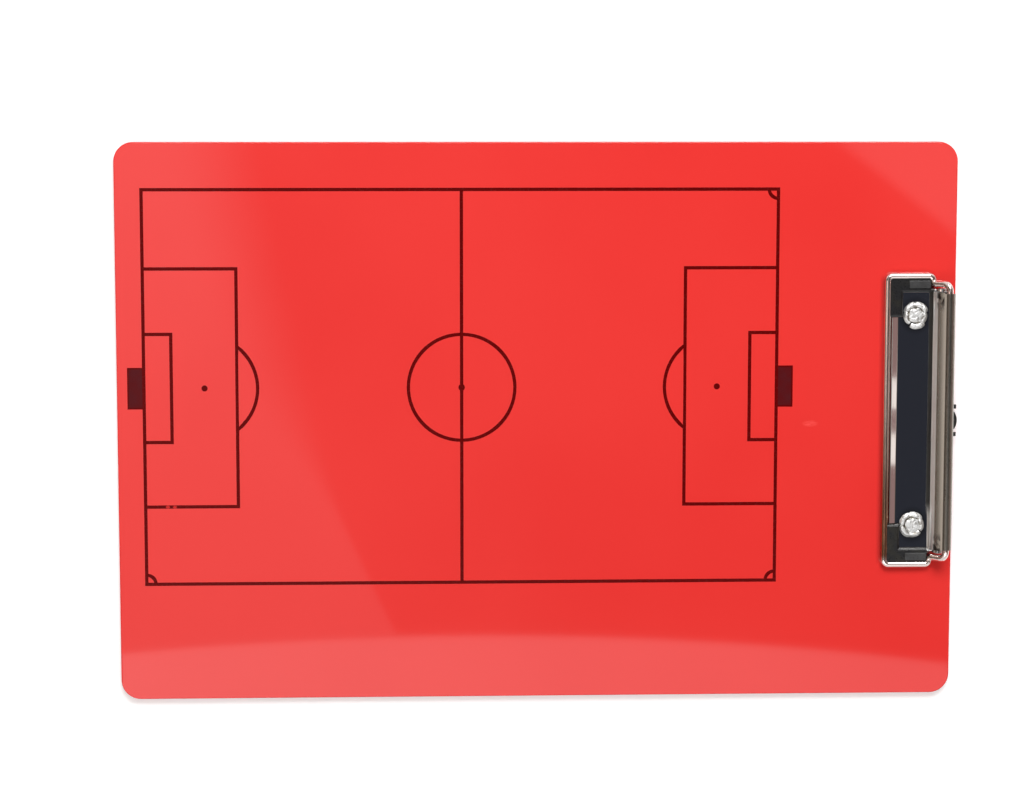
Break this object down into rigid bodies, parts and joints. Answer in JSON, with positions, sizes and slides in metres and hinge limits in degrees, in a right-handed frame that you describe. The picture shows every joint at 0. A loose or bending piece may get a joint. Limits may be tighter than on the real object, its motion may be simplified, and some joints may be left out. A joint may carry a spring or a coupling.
{
  "type": "tactics board",
  "caption": "Flat plastic coaching board printed with a football pitch, with a sprung wire-bow paper clip and a slide-out hanging tab at one end.",
  "frame": {"origin": "centre of the panel's plain back face", "axes": "+X along the panel towards the clip end, +Y across the panel, +Z out of the printed face"},
  "size_m": [0.3463, 0.23, 0.0134],
  "materials": {
    "red_plastic": "glossy moulded sheet",
    "print_ink": "screen-printed black ink",
    "clip_chrome": "bright nickel-chrome plate on sheet steel",
    "wire_chrome": "bright nickel-chrome plate on wire",
    "rivet_steel": "bright zinc plate, clinched",
    "pin_steel": "plated pin",
    "spring_steel": "drawn spring wire",
    "pad_plastic": "black soft moulded plastic",
    "tab_plastic": "black moulded plastic"
  },
  "bodies": {
    "board": {"board_panel": "red_plastic", "pitch_lines": "print_ink", "penalty_spots": "print_ink", "goal_blocks": "print_ink", "base_plate": "clip_chrome", "rivet_upper": "rivet_steel", "rivet_lower": "rivet_steel", "hinge_pin": "pin_steel", "torsion_spring_upper": "spring_steel", "torsion_spring_lower": "spring_steel"},
    "clamp": {"press_lever": "clip_chrome", "jaw_bow": "wire_chrome", "corner_pad_upper": "pad_plastic", "corner_pad_lower": "pad_plastic"},
    "hanger": {"hanging_tab": "tab_plastic"}
  },
  "joints": [
    {"name": "clamp_hinge", "type": "hinge", "parent": "board", "child": "clamp", "pos_m": [0.1662, 0, 0.0066], "axis": [0, 1, 0], "range_deg": [0, 35], "stiffness_Nm_per_rad": 0.3, "springref_deg": -45.84, "deforming": ["torsion_spring_upper", "torsion_spring_lower"]},
    {"name": "hanger_slide", "type": "slide", "parent": "board", "child": "hanger", "axis": [1, 0, 0], "range_m": [0, 0.0052]}
  ]
}
